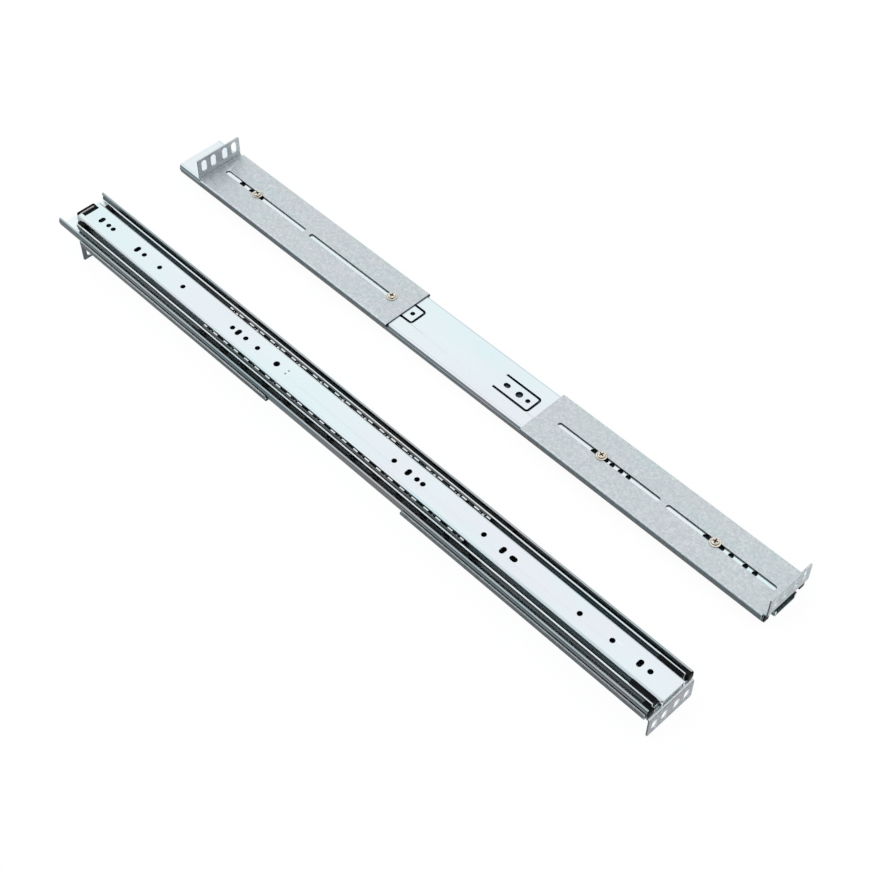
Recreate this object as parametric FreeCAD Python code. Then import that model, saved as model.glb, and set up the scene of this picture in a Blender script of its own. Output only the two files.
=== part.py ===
"""A pair of heavy-duty telescoping rack slides with adjustable mounting brackets.

Both slides are the same: three roll-formed channels that nest, balls in cages
between them, and two sheet brackets bolted under the outer channel.  Each one is
modelled once in its own frame, then laid down: the left slide stands on its
bracket ears with the moving channel up, the right one lies the other way over.

Slide frame: X along the slide towards the front of the rack, Y across it,
Z out of the outer channel's web, whose underside is Z = 0.
"""
import FreeCAD
import Part
import math
import os

Vector = FreeCAD.Vector

# ---- slide: overall ---------------------------------------------------------
slide_width = 58.4          # across the outer channel
slide_depth = 14.4          # from the outer web's underside to the inner web's face
outer_length = 812.8
outer_sheet = 1.8
middle_sheet = 1.6
inner_sheet = 1.8
web_gap = 0.4               # between the outer and middle webs
lip_drop = 3.9              # outer lips stop this far below the inner face
middle_lip_drop = 2.3
skirt_height = 5.6          # lower edge of the inner channel's flanges
bend_radius = 0.7           # inside radius of the web corners
groove_bend = 0.4           # inside radius of the bends round a ball track

# ---- how the closed channels' ends lie from the outer channel's ends ----------
middle_rear_setback = 21.0
middle_front_setback = 1.8
inner_rear_setback = 14.0
inner_front_reach = 3.2

# ---- balls and cages ----------------------------------------------------------
outer_ball = 6.35
inner_ball = 5.0
race_clearance = 0.15       # between a ball and each track
track_depth = 0.7           # how far a track is formed out of its wall
track_flat = 1.1            # half height of a track's floor
track_mouth = 2.2           # half height of a track at its wall
outer_row_height = 5.9      # ball centres of the outer rows
cage_thickness = 0.8
cage_web_gap = 0.3          # below a cage strip
outer_cage_drop = 4.2       # from the inner face down to the outer strips' top
inner_cage_drop = 1.2       # from the inner face down to the inner strips' flange
flange_clearance = 0.3      # from an inner strip's flange to the channels beside it
window_clearance = 0.3
window_pitch = 31.2
notch_long = 9.6            # notches in a flange, at each ball and half way between
notch_deep = 2.4
outer_cage_start = 214.0
inner_cage_start = 224.0

middle_travel = 392.0       # at its end the outer cages meet the outer front stops

# ---- plastic stops ---------------------------------------------------------------
stop_clearance = 0.3
outer_stop_length = 9.0
outer_stop_flange = 1.6
middle_front_stop_length = 27.0
middle_rear_stop_length = 9.0
stop_drop = 1.0             # stops end this far below the inner face

# ---- bumper on the inner channel's rear end ---------------------------------------
bumper_reach = 7.5          # how far it stands out behind the inner channel
bumper_half_width = 11.1
bumper_drop = 3.0
bumper_floor = 5.0
bumper_slot = 1.6
notch_length = 6.0
notch_half_width = 8.6
notch_clearance = 0.2

# ---- holes in the inner web, from its rear end and back from its front end ----------
chassis_hole = 4.8
chassis_slot_length = 7.6
rear_round_holes = (34.2, 41.8, 93.6, 118.6, 156.0, 233.4, 253.4, 271.0)
rear_cross_slots = (23.0, 82.5, 242.2)
front_round_holes = (25.8, 68.4, 106.0, 221.6, 299.8, 307.4, 337.6)
front_cross_slots = (37.2, 198.0, 318.8)
front_long_slot = 185.0
dimple_reach = 314.6        # from the inner web's rear end
dimple_diameter = 2.0
dimple_spacing = 4.6
dimple_depth = 0.5
end_corner = 2.0            # corner cut on the inner web's front end

# ---- release lever ------------------------------------------------------------------
lever_reach = 299.5         # its pivot, from the inner web's rear end
hook_reach = 63.2           # its hook's front face, from the pivot
lever_tail = 43.3           # from the hook's front face to the lever's tip
lever_half_width = 2.6
lever_boss_radius = 5.0
lever_thickness = 3.4
lever_gap = 0.4             # between the lever and the inner web
hook_length = 5.0
hook_half_width = 2.5
hook_gap = 0.8              # hook above the middle web
catch_setback = 38.0        # the catch's rear face, back from the middle channel's front end
catch_clearance = 0.3
catch_height = 2.2
catch_length = 3.0
grip_length = 18.0
grip_rise = 2.0
rivet_shank = 3.0           # radius
rivet_bore = 2.1
rivet_head = 4.4
rivet_head_height = 0.5
pivot_clearance = 0.05

# ---- brackets ---------------------------------------------------------------------------
bracket_sheet = 1.6
bracket_side_clearance = 0.5
bracket_length = 298.0      # from the ear's outer face to the inner end
bracket_flange = 6.0        # flange height above the outer web's underside
flange_corner = 4.0
ear_flange_gap = 4.6        # flanges stop this far short of the ear's outer face
ear_width = 57.2
ear_height = 24.2           # beyond the plate's outer face
ear_bend = 1.0
ear_corner = 1.5
ear_slot_width = 6.8
ear_slot_length = 14.6
ear_slot_height = 13.9      # slot centre beyond the plate's outer face
rack_hole_spacing = 15.875  # rack posts: two gaps of 15.875 then one of 12.7
rack_unit_spacing = 12.7
front_ear_reach = 3.7       # its outer face, in front of the outer channel
rear_ear_setback = 33.4     # its outer face, from the outer channel's rear end
long_slot_width = 5.3
long_slots = ((13.0, 141.0), (149.0, 277.0))    # from the ear's outer face
rear_bolts = (63.9, 274.1)
front_bolts = (83.2, 221.7)

# ---- bracket bolts ------------------------------------------------------------------------
bolt_shank = 5.0
bolt_head = 9.4
bolt_head_height = 2.6
bolt_hole_clearance = 0.05
bolt_edge_radius = 1.6
bolt_recess = 1.4
recess_length = 5.0
recess_width = 1.0

# ---- outer web: spare holes and lanced tabs, from its rear end and back from its front end
web_hole = 4.8
web_slot_length = 7.0
rear_web_holes = (87.0, 103.4)
rear_web_slots = (72.4,)
rear_tab = 347.6
front_web_holes = (33.6, 44.6, 60.8, 184.2, 193.8, 204.4, 212.0)
front_web_slots = (72.8, 89.4, 226.8)
front_tab = 304.4
tab_length = 46.6
tab_half_width = 11.2
tab_cut = 2.0
tab_slot_place = 37.0       # behind the tab's free end
tab_hole_place = 20.6
tab_hole = 7.0
tab_small_place = 9.2
tab_small_hole = 4.4

# ---- how the two slides lie ----------------------------------------------------------------
slide_spacing = 156.8       # between the centrelines

# ---- worked out ------------------------------------------------------------------------------
middle_start = middle_rear_setback
middle_end = outer_length - middle_front_setback
inner_start = inner_rear_setback
inner_end = outer_length + inner_front_reach
rear_ear_place = rear_ear_setback
front_ear_place = outer_length + front_ear_reach
outer_cage_end = outer_length - outer_stop_length - stop_clearance - middle_travel / 2
lever_pivot = inner_start + lever_reach
hook_front = lever_pivot + hook_reach
lever_tip = hook_front + lever_tail
catch_place = middle_end - catch_setback
inner_travel = catch_place - catch_clearance - hook_front
inner_cage_end = middle_end - middle_front_stop_length - stop_clearance - inner_travel / 2
bolt_places = ([rear_ear_place + reach for reach in rear_bolts]
               + [front_ear_place - reach for reach in front_bolts])
outer_race_gap = outer_ball + 2 * race_clearance
inner_race_gap = inner_ball + 2 * race_clearance
outer_race = slide_width / 2 - outer_sheet
outer_row = outer_race - outer_race_gap / 2
middle_outer_race = outer_race - outer_race_gap
middle_inner_race = middle_outer_race - middle_sheet + track_depth
inner_row = middle_inner_race - inner_race_gap / 2
inner_race = middle_inner_race - inner_race_gap
inner_row_height = outer_row_height + track_flat + track_mouth
inner_half_width = inner_race + track_depth
middle_web_top = outer_sheet + web_gap + middle_sheet
inner_web_bottom = slide_depth - inner_sheet
lip_height = slide_depth - lip_drop
middle_lip_height = slide_depth - middle_lip_drop
bracket_half_width = slide_width / 2 + bracket_side_clearance + bracket_sheet
slot_offsets = (rack_hole_spacing / 2, rack_hole_spacing / 2 + rack_unit_spacing)
ear_slot_places = (-slot_offsets[1], -slot_offsets[0], slot_offsets[0], slot_offsets[1])
over = 1.0                  # how far a cutter runs past the sheet it cuts
same_place = 1e-6


def formed_side(points, radii):
    """Edges of an open path in the YZ plane, with an arc of the given radius at each corner."""
    edges = []
    start = points[0]
    for before, corner, after, radius in zip(points, points[1:], points[2:], radii):
        way_in = (corner - before).normalize()
        way_out = (after - corner).normalize()
        turn = way_in.getAngle(way_out)
        reach = radius * math.tan(turn / 2)
        arc_start = corner - way_in * reach
        arc_end = corner + way_out * reach
        inward = (way_out - way_in).normalize()
        arc_middle = corner + inward * (radius / math.cos(turn / 2) - radius)
        edges.append(Part.LineSegment(start, arc_start).toShape())
        edges.append(Part.Arc(arc_start, arc_middle, arc_end).toShape())
        start = arc_end
    edges.append(Part.LineSegment(start, points[-1]).toShape())
    return edges


def shifted_path(points, distance):
    """The same open path moved sideways, with its corners mitred."""
    ways = [(b - a).normalize() for a, b in zip(points, points[1:])]
    sides = [Vector(0, -way.z, way.y) for way in ways]
    moved = [points[0] + sides[0] * distance]
    for corner, before, after in zip(points[1:-1], sides, sides[1:]):
        bisector = before + after
        moved.append(corner + bisector * (distance * 2 / bisector.dot(bisector)))
    moved.append(points[-1] + sides[-1] * distance)
    return moved


def formed_channel(half_path, sheet, start, end):
    """A roll-formed channel: half_path runs from the web to one lip as (y, z, inside radius)."""
    right = [Vector(start, y, z) for y, z, _ in half_path]
    left = [Vector(start, -y, z) for y, z, _ in reversed(half_path)]
    path = left + right
    bends = [radius for _, _, radius in half_path[:-1]]
    bends = bends[::-1] + bends
    edges = []
    faces = []
    for side in (1, -1):
        moved = shifted_path(path, side * sheet / 2)
        radii = []
        for before, corner, after, bend in zip(path, path[1:], path[2:], bends):
            turns_left = (corner - before).cross(after - corner).x > 0
            radii.append(bend if turns_left == (side > 0) else bend + sheet)
        edges += formed_side(moved, radii)
        faces.append(moved)
    for upper, lower in ((faces[0][0], faces[1][0]), (faces[0][-1], faces[1][-1])):
        edges.append(Part.LineSegment(upper, lower).toShape())
    wire = Part.Wire(Part.__sortEdges__(edges))
    return Part.Face(wire).extrude(Vector(end - start, 0, 0))


def box(x0, x1, y0, y1, z0, z1):
    return Part.makeBox(x1 - x0, y1 - y0, z1 - z0, Vector(x0, y0, z0))


def drill(x, y, z0, z1, diameter):
    return Part.makeCylinder(diameter / 2, z1 - z0, Vector(x, y, z0))


def slot_cutter(centre, along, through, width, length):
    """An obround cutter: along is its long direction, through its depth from centre."""
    side = along.cross(through).normalize() * (width / 2)
    tip = along * (width / 2)
    far = centre + along * ((length - width) / 2)
    near = centre - along * ((length - width) / 2)
    edges = [Part.LineSegment(near + side, far + side).toShape(),
             Part.Arc(far + side, far + tip, far - side).toShape(),
             Part.LineSegment(far - side, near - side).toShape(),
             Part.Arc(near - side, near - tip, near + side).toShape()]
    return Part.Face(Part.Wire(edges)).extrude(through)


def web_slot(x, z0, z1, width, length, along):
    return slot_cutter(Vector(x, 0, z0), along, Vector(0, 0, z1 - z0), width, length)


def from_both_ends(rear, front, start, end):
    """Places along a web, given from its rear end and back from its front end."""
    return [start + reach for reach in rear] + [end - reach for reach in front]


def upright_edges(shape, x):
    """The edges of a block that stand along Z on the plane X = x."""
    return [edge for edge in shape.Edges
            if all(abs(vertex.X - x) < same_place for vertex in edge.Vertexes)
            and abs(edge.Vertexes[0].Y - edge.Vertexes[-1].Y) < same_place]


def mirrored(shape):
    return shape.mirror(Vector(0, 0, 0), Vector(0, 1, 0))


def cut_out(shape, cutters):
    return shape.cut(Part.makeCompound(cutters))


ALONG = Vector(1, 0, 0)
ACROSS = Vector(0, 1, 0)
UP = Vector(0, 0, 1)


# ---- the three channels --------------------------------------------------------------------

def outer_member():
    wall = outer_race - track_depth + outer_sheet / 2
    bulge = outer_race + outer_sheet / 2
    low = outer_row_height
    channel = formed_channel([
        (wall, outer_sheet / 2, bend_radius),
        (wall, low - track_mouth, groove_bend),
        (bulge, low - track_flat, groove_bend),
        (bulge, low + track_flat, groove_bend),
        (wall, low + track_mouth, groove_bend),
        (wall, lip_height, 0)], outer_sheet, 0, outer_length)
    below = -over
    above = outer_sheet + over
    tapped = bolt_shank + 2 * bolt_hole_clearance
    cutters = [drill(x, 0, below, above, tapped) for x in bolt_places]
    for x in from_both_ends(rear_web_holes, front_web_holes, 0, outer_length):
        cutters.append(drill(x, 0, below, above, web_hole))
    for x in from_both_ends(rear_web_slots, front_web_slots, 0, outer_length):
        cutters.append(web_slot(x, below, above, web_hole, web_slot_length, ALONG))
    for end in (rear_tab, outer_length - front_tab):
        cutters.append(tab_outline(end, below, above))
        cutters.append(web_slot(end - tab_slot_place, below, above,
                                web_hole, web_slot_length, ALONG))
        cutters.append(drill(end - tab_hole_place, 0, below, above, tab_hole))
        cutters.append(drill(end - tab_small_place, 0, below, above, tab_small_hole))
    return cut_out(channel, cutters)


def tab_outline(end, below, above):
    """The U-shaped cut that frees a tab, open towards the rear."""
    start = end - tab_length
    outside = box(start, end, -tab_half_width, tab_half_width, below, above)
    outside = outside.makeFillet(2 * tab_cut, upright_edges(outside, end))
    half = tab_half_width - tab_cut
    inside = box(start - over, end - tab_cut, -half, half, below - over, above + over)
    return outside.cut(inside.makeFillet(tab_cut, upright_edges(inside, end - tab_cut)))


def middle_member():
    web = middle_web_top - middle_sheet / 2
    lower = middle_outer_race - middle_sheet / 2
    upper = lower + track_depth
    channel = formed_channel([
        (lower, web, bend_radius),
        (lower, outer_row_height + track_flat, groove_bend),
        (upper, outer_row_height + track_mouth, groove_bend),
        (upper, middle_lip_height, 0)], middle_sheet, middle_start, middle_end)
    return channel.fuse(catch_tab())


def catch_tab():
    """The lanced catch on the middle web that the release lever hooks behind at full travel."""
    root = middle_web_top - middle_sheet / 2
    top = middle_web_top + catch_height
    flat_end = catch_place + middle_sheet
    ramp_end = flat_end + catch_length
    profile = ((catch_place, root), (catch_place, top), (flat_end, top),
               (ramp_end, middle_web_top), (ramp_end, root), (catch_place, root))
    tab = Part.makePolygon([Vector(x, -hook_half_width, z) for x, z in profile])
    return Part.Face(tab).extrude(Vector(0, 2 * hook_half_width, 0))


def inner_member():
    flange = inner_half_width - inner_sheet / 2
    groove = inner_race - inner_sheet / 2
    high = inner_row_height
    channel = formed_channel([
        (flange, slide_depth - inner_sheet / 2, bend_radius),
        (flange, high + track_mouth, groove_bend),
        (groove, high + track_flat, groove_bend),
        (groove, high - track_flat, groove_bend),
        (flange, high - track_mouth, groove_bend),
        (flange, skirt_height, 0)], inner_sheet, inner_start, inner_end)
    below = inner_web_bottom - over
    above = slide_depth + over
    cutters = [web_slot(inner_end - front_long_slot, below, above,
                        chassis_hole, chassis_slot_length, ALONG)]
    for x in from_both_ends(rear_round_holes, front_round_holes, inner_start, inner_end):
        cutters.append(drill(x, 0, below, above, chassis_hole))
    for x in from_both_ends(rear_cross_slots, front_cross_slots, inner_start, inner_end):
        cutters.append(web_slot(x, below, above, chassis_hole, chassis_slot_length, ACROSS))
    cutters.append(drill(lever_pivot, 0, below, above, 2 * (rivet_shank + pivot_clearance)))
    for side in (-1, 1):
        cutters.append(drill(inner_start + dimple_reach, side * dimple_spacing / 2,
                             slide_depth - dimple_depth, above, dimple_diameter))
        tip = side * inner_half_width
        cutters.append(Part.Face(Part.makePolygon([
            Vector(inner_end + over, tip, below),
            Vector(inner_end + over, tip - side * (end_corner + over), below),
            Vector(inner_end - end_corner - bend_radius, tip + side * bend_radius, below),
            Vector(inner_end + over, tip, below)])).extrude(Vector(0, 0, above - below)))
    cutters.append(box(inner_start - over, inner_start + notch_length,
                       -notch_half_width, notch_half_width, below, above))
    return cut_out(channel, cutters)


# ---- cages and balls ---------------------------------------------------------------------------

def window_places(ball, start, end):
    """Ball places along a cage, evenly spaced with equal margins."""
    count = int((end - start - ball) // window_pitch)
    margin = (end - start - count * window_pitch) / 2
    return [start + margin + window_pitch * i for i in range(count + 1)]


def cage_strip(ball, row, row_height, floor, top, start, end):
    """An upright strip with a window for every ball."""
    strip = box(start, end, row - cage_thickness / 2, row + cage_thickness / 2,
                floor + cage_web_gap, top)
    reach = ball / 2 + window_clearance
    return cut_out(strip, [box(x - reach, x + reach, row - over, row + over,
                               row_height - reach, row_height + reach)
                           for x in window_places(ball, start, end)])


def outer_ball_cages():
    strip = cage_strip(outer_ball, outer_row, outer_row_height, outer_sheet,
                       slide_depth - outer_cage_drop, outer_cage_start, outer_cage_end)
    return Part.makeCompound([strip, mirrored(strip)])


def inner_ball_cages():
    """Strips with a flange over the balls, notched at each ball and half way between."""
    top = slide_depth - inner_cage_drop
    strip = cage_strip(inner_ball, inner_row, inner_row_height, middle_web_top, top,
                       inner_cage_start, inner_cage_end)
    near = inner_half_width + flange_clearance
    flange = box(inner_cage_start, inner_cage_end, near, middle_inner_race - flange_clearance,
                 top - cage_thickness, top)
    balls = window_places(inner_ball, inner_cage_start, inner_cage_end)
    middles = [x + window_pitch / 2 for x in balls[:-1]]
    notches = [box(x - notch_long / 2, x + notch_long / 2, near - over,
                   inner_row + cage_thickness / 2, top - notch_deep, top + over)
               for x in balls + middles]
    strip = cut_out(strip.fuse(flange).removeSplitter(), notches)
    return Part.makeCompound([strip, mirrored(strip)])


def ball_rows(ball, row, row_height, start, end):
    balls = [Part.makeSphere(ball / 2, Vector(x, side * row, row_height))
             for side in (-1, 1) for x in window_places(ball, start, end)]
    return Part.makeCompound(balls)


# ---- plastic stops --------------------------------------------------------------------------------

def outer_front_stops():
    """Moulded blocks pushed into the front ends of the outer tracks, with a flange outside."""
    wall = outer_race - track_depth
    near = middle_outer_race + track_depth + stop_clearance
    floor = outer_sheet + bend_radius
    top = lip_height - stop_clearance
    block = box(outer_length - outer_stop_length, outer_length, near, wall, floor, top)
    flange = box(outer_length, outer_length + outer_stop_flange, near, wall + outer_sheet,
                 floor, top)
    stop = block.fuse(flange).removeSplitter()
    return Part.makeCompound([stop, mirrored(stop)])


def middle_stops():
    """Moulded blocks in both ends of the inner tracks, fixed to the middle channel."""
    jog = outer_row_height + track_mouth + middle_sheet / 2
    top = slide_depth - stop_drop
    near = inner_half_width + stop_clearance
    stops = []
    for start, end in ((middle_start, middle_start + middle_rear_stop_length),
                       (middle_end - middle_front_stop_length, middle_end)):
        upper = box(start, end, near, middle_inner_race, jog, top)
        lower = box(start, end, near, middle_inner_race - track_depth,
                    middle_web_top + bend_radius, jog)
        stop = upper.fuse(lower).removeSplitter()
        stops += [stop, mirrored(stop)]
    return Part.makeCompound(stops)


def rear_bumper():
    """The moulded bumper pushed into the inner channel's rear end, with a tab up into its notch."""
    rear = inner_start - bumper_reach
    front = inner_start + notch_length - notch_clearance
    body = box(rear, front, -bumper_half_width, bumper_half_width,
               bumper_floor, inner_web_bottom)
    step = box(rear - over, inner_start - notch_clearance, -bumper_half_width - over,
               bumper_half_width + over, slide_depth - bumper_drop, slide_depth)
    half = notch_half_width - notch_clearance
    tab = box(inner_start + notch_clearance, front, -half, half,
              inner_web_bottom - over, slide_depth - notch_clearance)
    slot = box(inner_start - 2 * bumper_slot, inner_start - bumper_slot, -half, half,
               slide_depth - 2 * bumper_drop, slide_depth)
    bumper = body.cut(step).fuse(tab).cut(slot).removeSplitter()
    return bumper.makeFillet(bumper_slot, upright_edges(bumper, rear))


# ---- release lever --------------------------------------------------------------------------------

def release_lever():
    """The lever under the inner web, whose hook meets the catch at full travel."""
    top = inner_web_bottom - lever_gap
    bottom = top - lever_thickness
    boss = drill(lever_pivot, 0, bottom, top, 2 * lever_boss_radius)
    arm = box(lever_pivot, lever_tip, -lever_half_width, lever_half_width, bottom, top)
    hook = box(hook_front - hook_length, hook_front, -hook_half_width, hook_half_width,
               middle_web_top + hook_gap, bottom)
    grip = box(lever_tip - grip_length, lever_tip, -lever_half_width, lever_half_width,
               bottom - grip_rise, bottom)
    lever = boss.fuse([arm, hook, grip]).removeSplitter()
    lever = lever.makeFillet(lever_half_width / 2, upright_edges(lever, lever_tip))
    return lever.cut(drill(lever_pivot, 0, bottom - over, top + over,
                           2 * (rivet_shank + pivot_clearance)))


def lever_rivet():
    """A hollow rivet through the inner web that the lever turns on."""
    head_top = inner_web_bottom - lever_gap - lever_thickness - pivot_clearance
    head_bottom = head_top - rivet_head_height
    shank = drill(lever_pivot, 0, head_bottom, slide_depth, 2 * rivet_shank)
    head = drill(lever_pivot, 0, head_bottom, head_top, 2 * rivet_head)
    bore = drill(lever_pivot, 0, head_bottom - over, slide_depth + over, 2 * rivet_bore)
    return shank.fuse(head).cut(bore)


# ---- brackets ----------------------------------------------------------------------------------------

def bracket():
    """The front bracket, from its ear's outer face at X = 0 back to its inner end."""
    middle = bracket_half_width - bracket_sheet / 2
    channel = formed_channel([
        (middle, -bracket_sheet / 2, bend_radius),
        (middle, bracket_flange, 0)], bracket_sheet, -bracket_length, -ear_flange_gap)
    rounded = [edge for edge in channel.Edges
               if all(abs(vertex.X + bracket_length) < same_place for vertex in edge.Vertexes)
               and all(abs(vertex.Z - bracket_flange) < same_place for vertex in edge.Vertexes)]
    channel = channel.makeFillet(flange_corner, rounded)
    wide = ear_width / 2
    bend_x = -bracket_sheet - ear_bend
    flat = box(-ear_flange_gap - over, bend_x, -wide, wide, -bracket_sheet, 0)
    outside = Part.makeCylinder(bracket_sheet + ear_bend, 2 * wide,
                                Vector(bend_x, -wide, bend_x), ACROSS, 90)
    inside = Part.makeCylinder(ear_bend, 2 * wide, Vector(bend_x, -wide, bend_x), ACROSS)
    tip = -bracket_sheet - ear_height
    ear = box(-bracket_sheet, 0, -wide, wide, tip, bend_x)
    corners = [edge for edge in ear.Edges
               if all(abs(vertex.Z - tip) < same_place for vertex in edge.Vertexes)
               and abs(edge.Vertexes[0].Y - edge.Vertexes[-1].Y) < same_place]
    ear = ear.makeFillet(ear_corner, corners)
    whole = channel.fuse([flat, outside.cut(inside), ear]).removeSplitter()
    through = Vector(bracket_sheet + 2 * over, 0, 0)
    cutters = [slot_cutter(Vector(-bracket_sheet - over, y, -bracket_sheet - ear_slot_height),
                           UP, through, ear_slot_width, ear_slot_length)
               for y in ear_slot_places]
    for near, far in long_slots:
        cutters.append(web_slot(-(near + far) / 2, -bracket_sheet - over, over,
                                long_slot_width, far - near, ALONG))
    return cut_out(whole, cutters)


def front_bracket():
    return bracket().translate(Vector(front_ear_place, 0, 0))


def rear_bracket():
    turned = bracket().mirror(Vector(0, 0, 0), ALONG)
    return turned.translate(Vector(rear_ear_place, 0, 0))


def bracket_bolts():
    """Pan-head screws through the bracket slots into the outer web's tapped holes."""
    seat = -bracket_sheet
    crown = seat - bolt_head_height
    head = drill(0, 0, crown, seat, bolt_head)
    edge = [edge for edge in head.Edges if len(edge.Vertexes) == 1
            and abs(edge.Vertexes[0].Z - crown) < same_place]
    head = head.makeFillet(bolt_edge_radius, edge)
    for length, width in ((recess_length, recess_width), (recess_width, recess_length)):
        head = head.cut(box(-length / 2, length / 2, -width / 2, width / 2,
                            crown - over, crown + bolt_recess))
    bolt = head.fuse(drill(0, 0, seat, outer_sheet, bolt_shank))
    return Part.makeCompound([bolt.removeSplitter().translated(Vector(x, 0, 0))
                              for x in bolt_places])


# ---- both slides, laid down ----------------------------------------------------------------------------

def slide_parts():
    """Every piece of one slide, in the slide frame."""
    outer_balls = ball_rows(outer_ball, outer_row, outer_row_height, outer_cage_start, outer_cage_end)
    inner_balls = ball_rows(inner_ball, inner_row, inner_row_height, inner_cage_start, inner_cage_end)
    return {
        "outer_member": outer_member(),
        "outer_front_stops": outer_front_stops(),
        "bracket_bolts": bracket_bolts(),
        "front_bracket": front_bracket(),
        "rear_bracket": rear_bracket(),
        "outer_ball_cages": outer_ball_cages(),
        "outer_balls": outer_balls,
        "middle_member": middle_member(),
        "middle_stops": middle_stops(),
        "inner_ball_cages": inner_ball_cages(),
        "inner_balls": inner_balls,
        "inner_member": inner_member(),
        "rear_bumper": rear_bumper(),
        "release_lever": release_lever(),
        "lever_rivet": lever_rivet(),
    }


def lay_down(shape, right):
    """The left slide stands on its ears; the right one is turned over, on its inner web."""
    centre = -max(front_ear_place, inner_end) / 2
    if right:
        turned = shape.rotated(Vector(0, 0, 0), ALONG, 180)
        return turned.translated(Vector(centre, slide_spacing / 2, slide_depth))
    return shape.translated(Vector(centre, -slide_spacing / 2, ear_height + bracket_sheet))


os.makedirs("parts", exist_ok=True)
for piece, shape in slide_parts().items():
    if not shape.isValid():
        raise ValueError(piece + " is not a valid solid")
    for side, right in (("left", False), ("right", True)):
        lay_down(shape, right).exportStep("parts/" + side + "_" + piece + ".step")
    print(piece, len(shape.Solids), "solids,", round(shape.Volume), "mm3")
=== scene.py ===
import math

import bmesh
import bpy
from mathutils import Matrix, Vector


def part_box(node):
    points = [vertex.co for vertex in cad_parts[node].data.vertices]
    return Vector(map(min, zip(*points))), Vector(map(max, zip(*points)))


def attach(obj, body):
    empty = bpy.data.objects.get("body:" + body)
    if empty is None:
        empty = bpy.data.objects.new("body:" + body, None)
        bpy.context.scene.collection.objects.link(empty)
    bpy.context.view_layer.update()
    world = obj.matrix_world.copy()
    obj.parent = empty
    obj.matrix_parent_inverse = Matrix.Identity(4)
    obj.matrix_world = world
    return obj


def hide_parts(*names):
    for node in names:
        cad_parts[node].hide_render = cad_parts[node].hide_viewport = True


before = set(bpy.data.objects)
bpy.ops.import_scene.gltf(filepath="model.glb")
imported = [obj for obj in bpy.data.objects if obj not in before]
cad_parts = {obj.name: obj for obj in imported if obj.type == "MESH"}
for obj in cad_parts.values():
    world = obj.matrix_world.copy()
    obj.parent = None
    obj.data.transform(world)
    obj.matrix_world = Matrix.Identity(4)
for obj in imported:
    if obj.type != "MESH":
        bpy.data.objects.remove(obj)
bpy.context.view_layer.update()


# ---- Bench, light and camera ---------------------------------------------------
# The pair lies on a plain white bench under a broad soft lamp, in a white room.
# The bench and the room are white to the eye and in every reflection.

bpy.context.scene.view_settings.view_transform = "Standard"


def plain_nodes(tree_owner):
    """The owner's node tree, emptied, with its nodes and links."""
    tree_owner.use_nodes = True
    tree = tree_owner.node_tree
    tree.nodes.clear()
    return tree, tree.nodes, tree.links


def seen_directly(nodes, links):
    """1 for rays from the eye, a mirror surface or glass, 0 for the light that falls on things."""
    path = nodes.new("ShaderNodeLightPath")
    first = nodes.new("ShaderNodeMath")
    first.operation = "MAXIMUM"
    links.new(path.outputs["Is Camera Ray"], first.inputs[0])
    links.new(path.outputs["Is Glossy Ray"], first.inputs[1])
    second = nodes.new("ShaderNodeMath")
    second.operation = "MAXIMUM"
    links.new(first.outputs[0], second.inputs[0])
    links.new(path.outputs["Is Transmission Ray"], second.inputs[1])
    return second.outputs[0]


room = bpy.data.worlds.new("white_room")
bpy.context.scene.world = room
tree, nodes, links = plain_nodes(room)
glow = nodes.new("ShaderNodeBackground")
glow.inputs["Color"].default_value = (0.96, 0.98, 1.0, 1)
glow.inputs["Strength"].default_value = 0.78
white = nodes.new("ShaderNodeBackground")
white.inputs["Color"].default_value = (1, 1, 1, 1)
white.inputs["Strength"].default_value = 1.0
mix = nodes.new("ShaderNodeMixShader")
links.new(seen_directly(nodes, links), mix.inputs[0])
links.new(glow.outputs[0], mix.inputs[1])
links.new(white.outputs[0], mix.inputs[2])
links.new(mix.outputs[0], nodes.new("ShaderNodeOutputWorld").inputs["Surface"])

bench_half = 6.0
bench_mesh = bpy.data.meshes.new("bench")
bench_mesh.from_pydata([(-bench_half, -bench_half, 0), (bench_half, -bench_half, 0),
                        (bench_half, bench_half, 0), (-bench_half, bench_half, 0)], [], [(0, 1, 2, 3)])
bench = bpy.data.objects.new("bench", bench_mesh)
bpy.context.collection.objects.link(bench)
bench_paint = bpy.data.materials.new("bench_paint")
tree, nodes, links = plain_nodes(bench_paint)
matt = nodes.new("ShaderNodeBsdfDiffuse")
matt.inputs["Color"].default_value = (0.98, 0.98, 0.98, 1)
glow = nodes.new("ShaderNodeEmission")
glow.inputs["Color"].default_value = (1, 1, 1, 1)
glow.inputs["Strength"].default_value = 1.03
share = nodes.new("ShaderNodeMath")
share.operation = "MULTIPLY"
share.inputs[1].default_value = 0.9
mix = nodes.new("ShaderNodeMixShader")
links.new(seen_directly(nodes, links), share.inputs[0])
links.new(share.outputs[0], mix.inputs[0])
links.new(matt.outputs[0], mix.inputs[1])
links.new(glow.outputs[0], mix.inputs[2])
links.new(mix.outputs[0], nodes.new("ShaderNodeOutputMaterial").inputs["Surface"])
bench_mesh.materials.append(bench_paint)

lamp_data = bpy.data.lights.new("soft_lamp", "AREA")
lamp_data.shape = "SQUARE"
lamp_data.size = 2.6
lamp_data.energy = 8
lamp = bpy.data.objects.new("soft_lamp", lamp_data)
lamp.location = (-1.5, -1.3, 1.9)
lamp.rotation_euler = (Vector((0, 0, 0)) - lamp.location).to_track_quat("-Z", "Y").to_euler()
bpy.context.collection.objects.link(lamp)

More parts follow.
